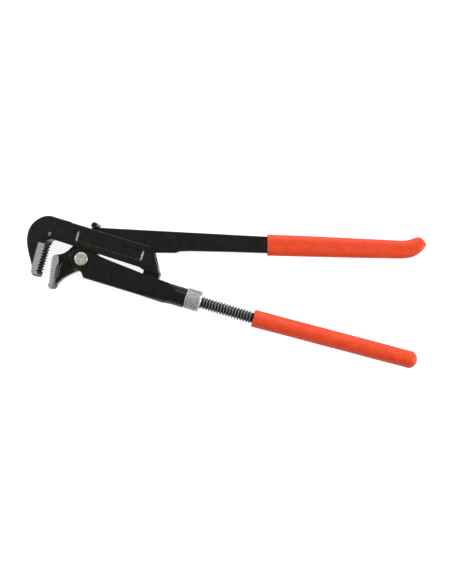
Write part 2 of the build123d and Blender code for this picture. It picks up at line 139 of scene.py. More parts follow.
def shader_group(name, inputs, outputs):
    """An empty group with named sockets; inputs maps a name to its kind and default."""
    group = bpy.data.node_groups.new(name, "ShaderNodeTree")
    for key, (kind, default) in inputs.items():
        socket = group.interface.new_socket(key, in_out="INPUT", socket_type="NodeSocket" + kind)
        if default is not None:
            socket.default_value = default
    for key, kind in outputs.items():
        group.interface.new_socket(key, in_out="OUTPUT", socket_type="NodeSocket" + kind)
    tree = Tree(group)
    return group, tree, tree.add("NodeGroupInput").outputs, tree.add("NodeGroupOutput").inputs


def geometry_group(name, inputs):
    """An empty geometry tree that takes and gives geometry, with further named inputs."""
    group = bpy.data.node_groups.new(name, "GeometryNodeTree")
    for key, kind in {"Geometry": "Geometry", **inputs}.items():
        group.interface.new_socket(key, in_out="INPUT", socket_type="NodeSocket" + kind)
    group.interface.new_socket("Geometry", in_out="OUTPUT", socket_type="NodeSocketGeometry")
    tree = Tree(group)
    return group, tree, tree.add("NodeGroupInput").outputs, tree.add("NodeGroupOutput").inputs


def make_paint_skin():
    """Dip enamel over a forging: orange peel, slow waves and dust nibs, as a height and a patchiness."""
    inputs = {"Vector": ("Vector", None), "Peel size": ("Float", 0.9), "Wave size": ("Float", 9.0)}
    group, tree, given, out = shader_group("paint skin", inputs, {"Height": "Float", "Patches": "Float"})
    peel = tree.noise(given["Vector"], tree.math("DIVIDE", 1.0, given["Peel size"]), 2.0)
    wave = tree.noise(given["Vector"], tree.math("DIVIDE", 1.0, given["Wave size"]), 2.0)
    nibs = tree.add("ShaderNodeTexVoronoi", {"Vector": given["Vector"], "Scale": 0.35})
    nib = tree.ramp(nibs.outputs["Distance"], 0.0, 0.1, 0.12, 0.0)
    height = tree.math("ADD", tree.math("MULTIPLY", peel, 0.25), wave)
    tree.join(tree.math("ADD", height, nib), out["Height"])
    tree.join(tree.noise(given["Vector"], 0.16, 5.0, 0.65), out["Patches"])
    return group


def make_edge_wear_and_sheen():
    """A mask that is 1 along edges, broken up by noise: rubbed edges, and a painted highlight along them."""
    inputs = {"Vector": ("Vector", None), "Radius": ("Float", 0.6 * MM), "Amount": ("Float", 0.5)}
    group, tree, given, out = shader_group("edge wear and sheen", inputs, {"Mask": "Float"})
    rounded = tree.add("ShaderNodeBevel", {"Radius": given["Radius"]}, samples=4)
    true_normal = tree.add("ShaderNodeNewGeometry").outputs["Normal"]
    aligned = tree.add("ShaderNodeVectorMath", operation="DOT_PRODUCT")
    tree.join(rounded.outputs["Normal"], aligned.inputs[0])
    tree.join(true_normal, aligned.inputs[1])
    edge = tree.ramp(aligned.outputs["Value"], 0.97, 0.80)
    broken = tree.ramp(tree.noise(given["Vector"], 0.7, 4.0), 0.66, 0.40)
    wear_and_sheen = tree.math("MULTIPLY", edge, tree.math("POWER", broken, 1.5))
    tree.join(tree.math("MULTIPLY", wear_and_sheen, given["Amount"], clamp=True), out["Mask"])
    return group


def make_grind_lines():
    """Fine parallel grinding marks across the vector's own x."""
    inputs = {"Vector": ("Vector", None), "Line size": ("Float", 0.12), "Length": ("Float", 6.0)}
    group, tree, given, out = shader_group("grind lines", inputs, {"Height": "Float", "Tone": "Float"})
    squeeze = tree.add("ShaderNodeVectorMath", operation="DIVIDE")
    scales = tree.add("ShaderNodeCombineXYZ", {"X": given["Line size"], "Y": given["Length"], "Z": 1.0})
    tree.join(given["Vector"], squeeze.inputs[0])
    tree.join(scales.outputs[0], squeeze.inputs[1])
    lines = tree.noise(squeeze.outputs[0], 1.0, 3.0, 0.7)
    tree.join(lines, out["Height"])
    blotch = tree.noise(given["Vector"], 0.45, 4.0, 0.6)
    halves = (tree.math("MULTIPLY", part, 0.5) for part in (lines, blotch))
    tree.join(tree.math("ADD", *halves), out["Tone"])
    return group


def make_strip_mask():
    """1 inside a leaning four-sided field of the vector's x and y, with soft edges."""
    names = ("Left", "Lean", "Right", "Right lean", "Bottom", "Top", "Soft")
    inputs = {"Vector": ("Vector", None)} | {name: ("Float", 0.0) for name in names}
    group, tree, given, out = shader_group("strip mask", inputs, {"Mask": "Float"})
    place = tree.add("ShaderNodeSeparateXYZ", {"Vector": given["Vector"]}).outputs
    left = tree.math("ADD", given["Left"], tree.math("MULTIPLY", place["Y"], given["Lean"]))
    right = tree.math("ADD", given["Right"], tree.math("MULTIPLY", place["Y"], given["Right lean"]))
    gaps = (
        tree.math("SUBTRACT", place["X"], left),
        tree.math("SUBTRACT", right, place["X"]),
        tree.math("SUBTRACT", place["Y"], given["Bottom"]),
        tree.math("SUBTRACT", given["Top"], place["Y"]),
    )
    nearest = gaps[0]
    for gap in gaps[1:]:
        smooth = tree.nodes.new("ShaderNodeMath")
        smooth.operation = "SMOOTH_MIN"
        tree.join(nearest, smooth.inputs[0])
        tree.join(gap, smooth.inputs[1])
        smooth.inputs[2].default_value = 2.2
        nearest = smooth.outputs[0]
    tree.join(tree.math("DIVIDE", nearest, given["Soft"], clamp=True), out["Mask"])
    return group


paint_skin = make_paint_skin()
edge_wear_and_sheen = make_edge_wear_and_sheen()
grind_lines = make_grind_lines()
strip_mask = make_strip_mask()


def new_material(name):
    """An empty material and its tree, its Principled shader and Object coordinates in millimetres."""
    made = bpy.data.materials.new(name)
    made.use_nodes = True
    tree = Tree(made.node_tree)
    tree.nodes.clear()
    shader = tree.add("ShaderNodeBsdfPrincipled")
    output = tree.add("ShaderNodeOutputMaterial")
    tree.join(shader.outputs[0], output.inputs["Surface"])
    place = tree.add("ShaderNodeTexCoord").outputs["Object"]
    return made, tree, shader, place


def mapped(tree, place, origin, turn):
    """Millimetres from origin, along axes turned by that angle about Z."""
    node = tree.add("ShaderNodeMapping", {"Vector": place}, vector_type="TEXTURE")
    node.inputs["Location"].default_value = origin
    node.inputs["Rotation"].default_value = (0, 0, turn)
    node.inputs["Scale"].default_value = (MM, MM, MM)
    return node.outputs[0]


def bump(tree, shader, height, distance, strength=1.0):
    inputs = {"Height": height, "Distance": distance, "Strength": strength}
    tree.join(tree.add("ShaderNodeBump", inputs).outputs[0], shader.inputs["Normal"])


ENAMEL_DARK = (0.0036, 0.0044, 0.0033, 1)
ENAMEL_LIGHT = (0.0088, 0.0104, 0.0080, 1)
BARE_STEEL = (0.36, 0.37, 0.35, 1)


def forged_enamel(name, origin, turn, pad, teeth, glints):
    """Black enamel on a forging, ground bare on its toothed pad, lightened along its edges as rubbed wear and
    painted highlight, and lightened along the glint strips as painted highlights.
    """
    made, tree, shader, place = new_material(name)
    local = mapped(tree, place, origin, turn)
    skin = tree.group(paint_skin, Vector=local, Peel_size=0.9, Wave_size=8.0)
    wear_and_sheen = tree.group(edge_wear_and_sheen, Vector=local, Radius=0.5 * MM, Amount=0.35)["Mask"]
    lines = tree.group(grind_lines, Vector=local, Line_size=0.10, Length=5.0)
    height_above = tree.add("ShaderNodeSeparateXYZ", {"Vector": local}).outputs["Z"]
    flank = tree.ramp(tree.math("ABSOLUTE", height_above), HEAD_HALF / MM - 0.12, HEAD_HALF / MM - 0.04)
    field = tree.group(strip_mask, Vector=local, Soft=0.25, **pad)["Mask"]
    ground = tree.math("MULTIPLY", flank, field)
    paint = tree.mix(skin["Patches"], ENAMEL_DARK, ENAMEL_LIGHT)
    steel_tone = tree.mix(tree.ramp(lines["Tone"], 0.3, 0.7), (0.27, 0.28, 0.26, 1), (0.43, 0.44, 0.42, 1))
    # Bare steel on the ground pad, and along the edges as rubbed wear mixed with a painted highlight.
    bare_and_glints = tree.math("MAXIMUM", ground, tree.math("MULTIPLY", wear_and_sheen, 0.6))
    # Painted highlights: each glint strip is lightened towards steel and broken up by noise; the hook-foot
    # and pad-slope strips are partly real bare steel too.
    glint_breakup = tree.ramp(tree.noise(local, 1.3, 4.0, 0.7), 0.40, 0.62)
    for low, high, strength, strip in glints:
        level = tree.math("ABSOLUTE", height_above)
        above = tree.math("MULTIPLY", tree.ramp(level, low, low + 0.3), tree.ramp(level, high, high - 0.3))
        glint_and_wear = tree.math("MULTIPLY", above, tree.group(strip_mask, Vector=local, Soft=0.3, **strip)["Mask"])
        glint_and_wear = tree.math("MULTIPLY", glint_and_wear, tree.math("MULTIPLY", glint_breakup, strength))
        bare_and_glints = tree.math("MAXIMUM", bare_and_glints, glint_and_wear)
    tree.join(tree.mix(bare_and_glints, paint, steel_tone), shader.inputs["Base Color"])
    tree.join(tree.math("MULTIPLY", bare_and_glints, 0.55), shader.inputs["Metallic"])
    in_teeth = tree.group(strip_mask, Vector=local, Soft=0.3, **teeth)["Mask"]
    gloss = tree.ramp(skin["Patches"], 0.3, 0.7, 0.30, 0.42)
    gloss = tree.math("ADD", gloss, tree.math("MULTIPLY", in_teeth, 0.4))
    shader.inputs["Specular IOR Level"].default_value = 0.34
    tree.join(tree.math("ADD", gloss, tree.math("MULTIPLY", bare_and_glints, 0.16)), shader.inputs["Roughness"])
    relief = tree.math("ADD", skin["Height"], tree.math("MULTIPLY", lines["Height"], ground))
    bump(tree, shader, relief, 0.035 * MM)
    return made


def sheet_enamel():
    """The same black enamel on smooth folded sheet, its edges lightened as rubbed wear and painted highlight.
    """
    made, tree, shader, place = new_material("sheet_enamel")
    local = mapped(tree, place, PIVOT, -TILT)
    skin = tree.group(paint_skin, Vector=local, Peel_size=0.7, Wave_size=14.0)
    # Edges lighten towards bare steel: partly rubbed wear, partly a painted highlight.
    wear_and_sheen = tree.group(edge_wear_and_sheen, Vector=local, Radius=0.4 * MM, Amount=0.3)["Mask"]
    paint = tree.mix(skin["Patches"], ENAMEL_DARK, ENAMEL_LIGHT)
    tree.join(tree.mix(wear_and_sheen, paint, BARE_STEEL), shader.inputs["Base Color"])
    tree.join(tree.math("MULTIPLY", wear_and_sheen, 0.5), shader.inputs["Metallic"])
    tree.join(tree.ramp(skin["Patches"], 0.3, 0.7, 0.26, 0.36), shader.inputs["Roughness"])
    shader.inputs["Specular IOR Level"].default_value = 0.38
    bump(tree, shader, skin["Height"], 0.022 * MM)
    return made


def dipped_grip():
    """Soft orange-red coating, dipped, with a satin gloss, faint flow marks and painted shade darkening it
    towards its edges.
    """
    made, tree, shader, place = new_material("dipped_grip")
    local = mapped(tree, place, PIVOT, 0.0)
    skin = tree.group(paint_skin, Vector=local, Peel_size=0.5, Wave_size=6.0)
    tone = tree.ramp(skin["Patches"], 0.3, 0.72)
    coat = tree.mix(tone, (0.66, 0.052, 0.014, 1), (0.74, 0.070, 0.020, 1))
    # Painted shade: the coat darkens where the surface turns away from the view, along the grip's edges.
    painted_rim_shade = tree.ramp(tree.add("ShaderNodeLayerWeight", {"Blend": 0.5}).outputs["Facing"], 0.2, 0.85)
    coat = tree.mix(tree.math("MULTIPLY", painted_rim_shade, 0.8), coat, (0.36, 0.022, 0.005, 1))
    tree.join(coat, shader.inputs["Base Color"])
    tree.join(tree.ramp(skin["Patches"], 0.3, 0.7, 0.44, 0.54), shader.inputs["Roughness"])
    shader.inputs["Subsurface Weight"].default_value = 0.06
    shader.inputs["Subsurface Radius"].default_value = (0.9 * MM, 0.3 * MM, 0.15 * MM)
    shader.inputs["Subsurface Scale"].default_value = 1.0
    shader.inputs["Specular IOR Level"].default_value = 0.26
    bump(tree, shader, skin["Height"], 0.03 * MM)
    return made


def from_spindle(tree, local):
    """How far a point lies from the nut's middle along the spindle, and from the spindle's axis."""
    parts = tree.add("ShaderNodeSeparateXYZ", {"Vector": local}).outputs
    squares = (tree.math("MULTIPLY", parts[key], parts[key]) for key in ("Y", "Z"))
    return tree.math("ABSOLUTE", parts["X"]), tree.math("SQRT", tree.math("ADD", *squares))


def zinc(name, light, roughness, rims):
    """Dull plating over turned steel, darker in its hollows, with its rims lightened on the nut as a painted
    highlight.
    """
    made, tree, shader, place = new_material(name)
    local = mapped(tree, place, SPINDLE_POINT, -TILT)
    spots = tree.noise(local, 1.1, 4.0, 0.65)
    dark = tuple(light * x for x in (0.66, 0.67, 0.63)) + (1,)
    pale = tuple(light * x for x in (1.16, 1.18, 1.12)) + (1,)
    plate = tree.mix(tree.ramp(spots, 0.3, 0.7), dark, pale)
    along, distance = from_spindle(tree, local)
    # Painted highlight: the chamfered rims at the nut's ends are lightened and made smoother.
    rim = tree.math("MULTIPLY", tree.ramp(along, 6.5, 6.9), rims)
    hollow = tree.math("MULTIPLY", tree.ramp(distance, 10.36, 10.0), tree.ramp(along, 6.9, 6.5))
    plate = tree.mix(tree.math("MULTIPLY", hollow, 0.4 * rims), plate, (0.05, 0.05, 0.047, 1))
    tree.join(tree.mix(rim, plate, (0.55, 0.56, 0.54, 1)), shader.inputs["Base Color"])
    shader.inputs["Metallic"].default_value = 0.75
    matt = tree.ramp(spots, 0.3, 0.7, roughness + 0.1, roughness)
    tree.join(tree.math("SUBTRACT", matt, tree.math("MULTIPLY", rim, 0.1)), shader.inputs["Roughness"])
    bump(tree, shader, tree.noise(local, 4.0, 3.0), 0.015 * MM)
    return made


def black_oxide():
    """Blackened steel of the spindle: dull, its edges and thread crests lightened as wear and as a painted
    highlight.
    """
    made, tree, shader, place = new_material("black_oxide")
    local = mapped(tree, place, SPINDLE_POINT, -TILT)
    # Edges lighten towards steel: partly rubbed wear, partly a painted highlight.
    wear_and_sheen = tree.group(edge_wear_and_sheen, Vector=local, Radius=0.35 * MM, Amount=0.5)["Mask"]
    tone = tree.noise(local, 0.8, 4.0, 0.6)
    oxide = tree.mix(tone, (0.008, 0.008, 0.008, 1), (0.022, 0.022, 0.021, 1))
    # Thread crests are lightened towards steel: partly worn crests, partly a painted highlight.
    crest = tree.ramp(from_spindle(tree, local)[1], 5.9, 6.3, 0.0, 0.7)
    wear_and_sheen = tree.math("MAXIMUM", wear_and_sheen, crest)
    tree.join(tree.mix(wear_and_sheen, oxide, (0.22, 0.22, 0.21, 1)), shader.inputs["Base Color"])
    shader.inputs["Metallic"].default_value = 0.35
    tree.join(tree.ramp(tone, 0.3, 0.7, 0.34, 0.5), shader.inputs["Roughness"])
    bump(tree, shader, tree.noise(local, 3.0, 3.0), 0.02 * MM)
    return made


def hammered_steel():
    """Bare rivet head with warm, uneven lustre."""
    made, tree, shader, place = new_material("hammered_steel")
    local = mapped(tree, place, PIVOT, 0.0)
    tone = tree.noise(local, 0.55, 4.0, 0.6)
    tree.join(
        tree.mix(tree.ramp(tone, 0.32, 0.68), (0.42, 0.40, 0.32, 1), (0.72, 0.70, 0.60, 1)),
        shader.inputs["Base Color"],
    )
    shader.inputs["Metallic"].default_value = 0.55
    tree.join(tree.ramp(tone, 0.3, 0.7, 0.34, 0.24), shader.inputs["Roughness"])
    bump(tree, shader, tree.noise(local, 1.6, 3.0), 0.05 * MM)
    return made


def phosphated():
    """Dark grey phosphated bush."""
    made, tree, shader, place = new_material("phosphated")
    local = mapped(tree, place, SPINDLE_POINT, -TILT)
    tone = tree.noise(local, 0.9, 4.0, 0.6)
    coat = tree.mix(tone, (0.012, 0.0115, 0.013, 1), (0.034, 0.033, 0.036, 1))
    tree.join(coat, shader.inputs["Base Color"])
    shader.inputs["Metallic"].default_value = 0.3
    tree.join(tree.ramp(tone, 0.3, 0.7, 0.42, 0.55), shader.inputs["Roughness"])
    bump(tree, shader, tree.noise(local, 3.0, 2.0), 0.02 * MM)
    return made


# Each field is bounded in its forging's own millimetres, with leaning sides. The step, panel-end and pad-foot
# fields place painted highlights; the hook-foot and pad-slope fields are partly bare steel, partly painted
# highlight.
HOOK_PAD = dict(Left=-44.9, Lean=-0.030, Right=-36.0, Right_lean=0.0, Bottom=-33.0, Top=3.8)
HOOK_TEETH = dict(Left=-39.6, Lean=0.0, Right=-35.0, Right_lean=0.0, Bottom=-27.0, Top=7.0)
LEVER_TEETH = dict(Left=-40.0, Lean=0.0, Right=-27.4, Right_lean=0.113, Bottom=-28.0, Top=1.5)
LEVER_PAD = dict(Left=-60.0, Lean=0.0, Right=-20.0, Right_lean=0.0, Bottom=-34.0, Top=6.2)
PAD_SLOPE = dict(Left=-40.0, Lean=0.0, Right=-20.6, Right_lean=0.24, Bottom=-34.0, Top=-5.0)
PAD_FOOT_GLINT = dict(Left=-20.1, Lean=0.25, Right=-18.9, Right_lean=0.25, Bottom=-19.0, Top=-3.0)
HOOK_FOOT = dict(Left=-46.0, Lean=0.0, Right=-36.0, Right_lean=0.0, Bottom=-32.0, Top=-26.6)
PANEL_START_GLINT = dict(Left=-11.1, Lean=0.0, Right=-8.7, Right_lean=0.0, Bottom=14.8, Top=26.0)
PANEL_END_GLINT = dict(Left=55.4, Lean=0.0, Right=57.9, Right_lean=0.0, Bottom=14.8, Top=26.0)
STEP_START_GLINT = dict(Left=-37.9, Lean=0.0, Right=-36.1, Right_lean=0.06, Bottom=11.9, Top=16.6)

materials = {
    "hook": forged_enamel(
        "hook_enamel",
        PIVOT,
        -TILT,
        HOOK_PAD,
        HOOK_TEETH,
        [
            (8.0, 10.8, 1.6, HOOK_FOOT),
            (9.8, 11.2, 1.2, STEP_START_GLINT),
            (8.9, 10.3, 1.0, PANEL_START_GLINT),
            (8.9, 10.3, 1.0, PANEL_END_GLINT),
        ],
    ),
    "lever": forged_enamel(
        "lever_enamel",
        PIVOT,
        0.0,
        LEVER_PAD,
        LEVER_TEETH,
        [(6.4, 10.9, 0.5, PAD_SLOPE), (4.6, 6.0, 2.2, PAD_FOOT_GLINT)],
    ),
    "sheet": sheet_enamel(),
    "grip": dipped_grip(),
    "zinc": zinc("zinc_plate", 0.40, 0.40, 1.0),
    "spring": zinc("spring_steel", 0.3, 0.3, 0.0),
    "oxide": black_oxide(),
    "rivet": hammered_steel(),
    "bush": phosphated(),
}


# ---------------------------------------------------------------- shaping helpers
def finish_piece(piece, body, replaced, material, place, crease):
    """Applies modifiers into a plain mesh in its place, gives it its material, hides the CAD parts it
    replaces and hangs it on the body it rides on.
    """
    depsgraph = bpy.context.evaluated_depsgraph_get()
    mesh = bpy.data.meshes.new_from_object(piece.evaluated_get(depsgraph))
    piece.modifiers.clear()
    piece.data = mesh
    mesh.transform(place)
    mesh.materials.clear()
    mesh.materials.append(materials[material])
    smooth_by_angle(mesh, crease)
    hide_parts(*replaced)
    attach(piece, body)
    return piece


def smooth_by_angle(mesh, degrees):
    """Smooth shading, with edges sharper than that left crisp."""
    built = bmesh.new()
    built.from_mesh(mesh)
    for face in built.faces:
        face.smooth = True
    for edge in built.edges:
        edge.smooth = len(edge.link_faces) == 2 and edge.calc_face_angle() < radians(degrees)
    built.to_mesh(mesh)
    built.free()


def repaint(node, material):
    """Gives a CAD node that keeps its shape a finished material."""
    piece = frame["nodes"][node]
    piece.data.materials.clear()
    piece.data.materials.append(materials[material])


def revolved(name, profile, segments):
    """A closed mesh turned about +Z from (radius, height) pairs in millimetres; zero radii close it."""
    built = bmesh.new()
    rings = []
    for radius, height in profile:
        if radius == 0:
            rings.append([built.verts.new((0, 0, height * MM))])
            continue
        turn = [(cos(tau * k / segments), sin(tau * k / segments)) for k in range(segments)]
        rings.append([built.verts.new((radius * x * MM, radius * y * MM, height * MM)) for x, y in turn])
    pairs = list(zip(rings, rings[1:]))
    if profile[0][0] and profile[-1][0]:
        pairs.append((rings[-1], rings[0]))
    for low, high in pairs:
        for k in range(segments):
            n = (k + 1) % segments
            corners = [low[k % len(low)], low[n % len(low)], high[n % len(high)], high[k % len(high)]]
            built.faces.new(list(dict.fromkeys(corners)))
    bmesh.ops.recalc_face_normals(built, faces=built.faces)
    mesh = bpy.data.meshes.new(name)
    built.to_mesh(mesh)
    built.free()
    return new_object(name, mesh)


def polar(tree):
    """The position's parts, its angle in turns and its distance from the Z axis."""
    position = tree.add("GeometryNodeInputPosition").outputs[0]
    place = tree.add("ShaderNodeSeparateXYZ", {"Vector": position}).outputs
    angle = tree.math("DIVIDE", tree.math("ARCTAN2", place["Y"], place["X"]), tau)
    squares = (tree.math("MULTIPLY", place[key], place[key]) for key in ("X", "Y"))
    return place, angle, tree.math("SQRT", tree.math("ADD", *squares))


def zigzag(tree, value):
    """1 at whole numbers, falling to 0 halfway between them."""
    doubled = tree.math("MULTIPLY", tree.math("FRACT", value), 2.0)
    return tree.math("ABSOLUTE", tree.math("SUBTRACT", doubled, 1.0))


def at_radius(tree, geometry, place, old_radius, new_radius, height):
    """Moves each point to a new radius and height."""
    scale = tree.math("DIVIDE", new_radius, old_radius)
    parts = {"X": tree.math("MULTIPLY", place["X"], scale), "Y": tree.math("MULTIPLY", place["Y"], scale)}
    position = tree.add("ShaderNodeCombineXYZ", {**parts, "Z": height}).outputs[0]
    return tree.add("GeometryNodeSetPosition", {"Geometry": geometry, "Position": position}).outputs[0]


def close_tree(tree, geometry, material, output):
    """Ends a tree with real geometry that carries the material."""
    real = tree.add("GeometryNodeRealizeInstances", {"Geometry": geometry}).outputs[0]
    painted = tree.add("GeometryNodeSetMaterial", {"Geometry": real, "Material": material}).outputs[0]
    tree.join(painted, output)


def make_thread():
    """A right-hand trapezoidal thread along +Z, joined to the piece it is used on."""
    lengths = {name: "Float" for name in ("Start", "Length", "Outer", "Root", "Pitch")}
    group, tree, given, out = geometry_group("screw thread", lengths | {"Material": "Material"})
    sizes = {"Vertices": 64, "Side Segments": 480, "Radius": given["Outer"], "Depth": given["Length"]}
    bar = tree.add("GeometryNodeMeshCylinder", sizes, fill_type="NGON").outputs["Mesh"]
    place, angle, radius = polar(tree)
    turn = tree.math("SUBTRACT", tree.math("DIVIDE", place["Z"], given["Pitch"]), angle)
    crest = tree.ramp(zigzag(tree, turn), 0.72, 0.28)
    half = tree.math("DIVIDE", given["Length"], 2.0)
    inset = tree.math("SUBTRACT", half, tree.math("ABSOLUTE", place["Z"]))
    crest = tree.math("MULTIPLY", crest, tree.math("DIVIDE", inset, given["Pitch"], clamp=True))
    depth = tree.math("SUBTRACT", given["Outer"], given["Root"])
    wanted = tree.math("ADD", given["Root"], tree.math("MULTIPLY", depth, crest))
    middle = tree.math("ADD", given["Start"], half)
    shaped = at_radius(tree, bar, place, radius, wanted, tree.math("ADD", place["Z"], middle))
    joined = tree.add("GeometryNodeJoinGeometry")
    for part in (given["Geometry"], shaped):
        tree.links.new(part, joined.inputs[0])
    close_tree(tree, joined.outputs[0], given["Material"], out["Geometry"])
    return group


def make_knurl():
    """Diamond knurling pressed into the outer band of a turned ring."""
    lengths = {name: "Float" for name in ("Radius", "From", "To", "Ridges", "Lead", "Depth")}
    group, tree, given, out = geometry_group("diamond knurl", lengths | {"Material": "Material"})
    place, angle, radius = polar(tree)
    around = tree.math("MULTIPLY", angle, given["Ridges"])
    along = tree.math("DIVIDE", place["Z"], given["Lead"])
    ridges = (zigzag(tree, tree.math(way, around, along)) for way in ("ADD", "SUBTRACT"))
    pyramid = tree.math("MULTIPLY", tree.math("MINIMUM", *ridges), 1.5, clamp=True)
    outer = tree.ramp(radius, tree.math("SUBTRACT", given["Radius"], 0.10 * MM), given["Radius"])
    start = tree.math("DIVIDE", tree.math("SUBTRACT", place["Z"], given["From"]), 0.5 * MM, clamp=True)
    end = tree.math("DIVIDE", tree.math("SUBTRACT", given["To"], place["Z"]), 0.5 * MM, clamp=True)
    band = tree.math("MULTIPLY", outer, tree.math("MULTIPLY", start, end))
    pressed = tree.math("MULTIPLY", tree.math("SUBTRACT", 1.0, pyramid), given["Depth"])
    wanted = tree.math("SUBTRACT", radius, tree.math("MULTIPLY", pressed, band))
    shaped = at_radius(tree, given["Geometry"], place, radius, wanted, place["Z"])
    close_tree(tree, shaped, given["Material"], out["Geometry"])
    return group


def use_group(piece, group, **values):
    """Puts a geometry tree on a piece with its named inputs set."""
    modifier = piece.modifiers.new(group.name, "NODES")
    modifier.node_group = group
    for socket in group.interface.items_tree:
        if socket.in_out == "INPUT" and socket.name in values:
            modifier[socket.identifier] = values[socket.name]


# ---------------------------------------------------------------- spindle, nut and rivet
THREAD = (84.0, 180.0)
NECK_START = 62.4  # station of the plain neck's tip
neck = [(0, 0), (4.2, 0), (5.0, 0.8), (5.0, 17.5), (4.7, 18), (4.7, 24), (0, 24)]
spindle = revolved("screw_spindle", neck, 64)
spindle.data.transform(Matrix.Translation((0, 0, (NECK_START - THREAD[0]) * MM)))
rod = revolved("handle_rod", [(0, 0.8), (5.65, 0.8), (6.65, 1.8), (6.65, 159), (3.65, 165), (0, 165)], 48)
rod.data.transform(axis_frame(THREAD[0] * MM, AXIS_U).inverted() @ axis_frame(HANDLE_START, HANDLE_AXIS))
both = bmesh.new()
both.from_mesh(spindle.data)
both.from_mesh(rod.data)
both.to_mesh(spindle.data)
both.free()
bpy.data.objects.remove(rod)
use_group(
    spindle,
    make_thread(),
    Start=0.0,
    Length=(THREAD[1] - THREAD[0]) * MM,
    Outer=6.35 * MM,
    Root=4.65 * MM,
    Pitch=3.0 * MM,
    Material=materials["oxide"],
)
finish_piece(spindle, "hook", ["spindle"], "oxide", axis_frame(THREAD[0] * MM, AXIS_U), 35)

NUT = (109.3, 125.0)
NUT_R, NUT_BORE, NUT_RIM = 10.4, 6.45, 0.9
nut_length = NUT[1] - NUT[0]
rows = 84
band = [(NUT_R, NUT_RIM + (nut_length - 2 * NUT_RIM) * k / rows) for k in range(rows + 1)]
nut_profile = [(7.9, 0), (NUT_R - NUT_RIM, 0), *band, (NUT_R - NUT_RIM, nut_length), (7.4, nut_length)]
nut_profile += [(NUT_BORE, nut_length - 1.1), (NUT_BORE, 6.8), (7.9, 6.8)]
nut = revolved("knurled_nut", nut_profile, 408)
use_group(
    nut,
    make_knurl(),
    Radius=NUT_R * MM,
    From=1.3 * MM,
    To=(nut_length - 1.3) * MM,
    Ridges=34.0,
    Lead=1.9 * MM,
    Depth=0.30 * MM,
    Material=materials["zinc"],
)
finish_piece(nut, "nut", ["adjusting_nut"], "zinc", axis_frame(NUT[0] * MM, AXIS_U), 32)

RIVET_HEAD_R, RIVET_TOP = 6.5, 11.0
ARM_ANGLES = (45, 135, 270)
ARM_LENGTH, ARM_HALF, ARM_DEPTH = 3.3, 1.25, 0.25


def hammered(x, y):
    """Depth of the three-armed hammer mark at a point of a rivet head, in millimetres."""
    depth = 0.0
    for angle in (radians(degrees) for degrees in ARM_ANGLES):
        along = max(0.0, min(ARM_LENGTH, x * cos(angle) + y * sin(angle)))
        away = ((x - along * cos(angle)) ** 2 + (y - along * sin(angle)) ** 2) ** 0.5
        depth = max(depth, ARM_DEPTH * max(0.0, 1 - (away / ARM_HALF) ** 2))
    return depth


def head_height(radius):
    """The gently domed top of a rivet head, which falls away in a rounded rim."""
    rim = max(0.0, (radius - (RIVET_HEAD_R - 1.0)) / 1.0)
    return RIVET_TOP - 0.22 * (radius / RIVET_HEAD_R) ** 2 - 0.85 * (1 - (1 - min(1.0, rim) ** 2) ** 0.5)


radii = [RIVET_HEAD_R * k / 26 for k in range(26)] + [6.35, 6.45, RIVET_HEAD_R]
half_head = [(r, head_height(r)) for r in radii] + [(RIVET_HEAD_R, 9.8)]
rivet = revolved("hammered_rivet", [(r, -h) for r, h in half_head] + half_head[::-1], 72)
for vertex in rivet.data.vertices:
    if abs(vertex.co.z) > 9.9 * MM:
        mark = hammered(vertex.co.x / MM, vertex.co.y / MM) * MM
        vertex.co.z -= mark if vertex.co.z > 0 else -mark
finish_piece(rivet, "frame", ["pivot_rivet"], "rivet", Matrix.Translation(PIVOT), 50)

# ---------------------------------------------------------------- grips
GRIP_R = 8.85
end = HANDLE_LENGTH / MM
tip = [(GRIP_R * cos(a), end - GRIP_R * 0.86 * (1 - sin(a))) for a in (radians(3 * k) for k in range(27))]
lower_profile = [(0, 1.0), (GRIP_R - 1.5, 0.2), (GRIP_R - 0.5, 0.0), (GRIP_R - 0.1, 0.3), (GRIP_R, 0.8)]
lower_profile += [(GRIP_R, 1.6), (GRIP_R - 0.12, 2.2)]
for station in range(4, int(end - 8), 2):
    lower_profile.append((GRIP_R - 0.12 + 0.05 * sin(station / 9.0), station))
lower_profile += tip + [(1.3, end), (1.2, end + 0.35), (0.7, end + 0.55), (0, end + 0.6)]
lower = revolved("dipped_lower_grip", lower_profile, 96)
finish_piece(lower, "hook", ["lower_grip"], "grip", axis_frame(HANDLE_START, HANDLE_AXIS), 60)

# The upper grip's edges from the pivot, in millimetres: station, top, bottom.
EDGES = [
    (184.2, 24.75, 3.45), (217.4, 23.6, 2.6), (267.4, 21.2, 1.4), (297.4, 19.8, 0.85),
    (310.0, 19.1, 0.6), (317.4, 18.75, 0.55), (322.4, 18.95, 0.75), (327.4, 20.0, 1.6),
    (331.4, 21.55, 3.0), (335.4, 22.15, 5.3), (337.4, 21.6, 6.9), (339.4, 20.0, 9.0),
    (341.4, 17.6, 11.5), (342.4, 16.1, 13.1), (342.8, 15.2, 14.0),
]


def edge_at(station, column):
    """A smooth curve through one column of the edges."""
    for k in range(len(EDGES) - 1):
        if station <= EDGES[k + 1][0]:
            break
    near = [EDGES[min(max(k + i, 0), len(EDGES) - 1)] for i in (-1, 0, 1, 2)]
    span = near[2][0] - near[1][0]
    t = (station - near[1][0]) / span
    slopes = [
        (near[i + 2][column] - near[i][column]) / (near[i + 2][0] - near[i][0]) * span for i in (0, 1)
    ]
    a, b = near[1][column], near[2][column]
    return (
        a * (2 * t**3 - 3 * t**2 + 1)
        + slopes[0] * (t**3 - 2 * t**2 + t)
        + b * (3 * t**2 - 2 * t**3)
        + slopes[1] * (t**3 - t**2)
    )


GRIP_HALF, RING_STEPS = 6.45, 56
SQUARENESS = 2.9  # 2 gives an ellipse, more gives a squarer section
FADE_START, FADE_RUN, FADE_POWER = 332.0, 11.4, 2.4  # the section thins towards the tip


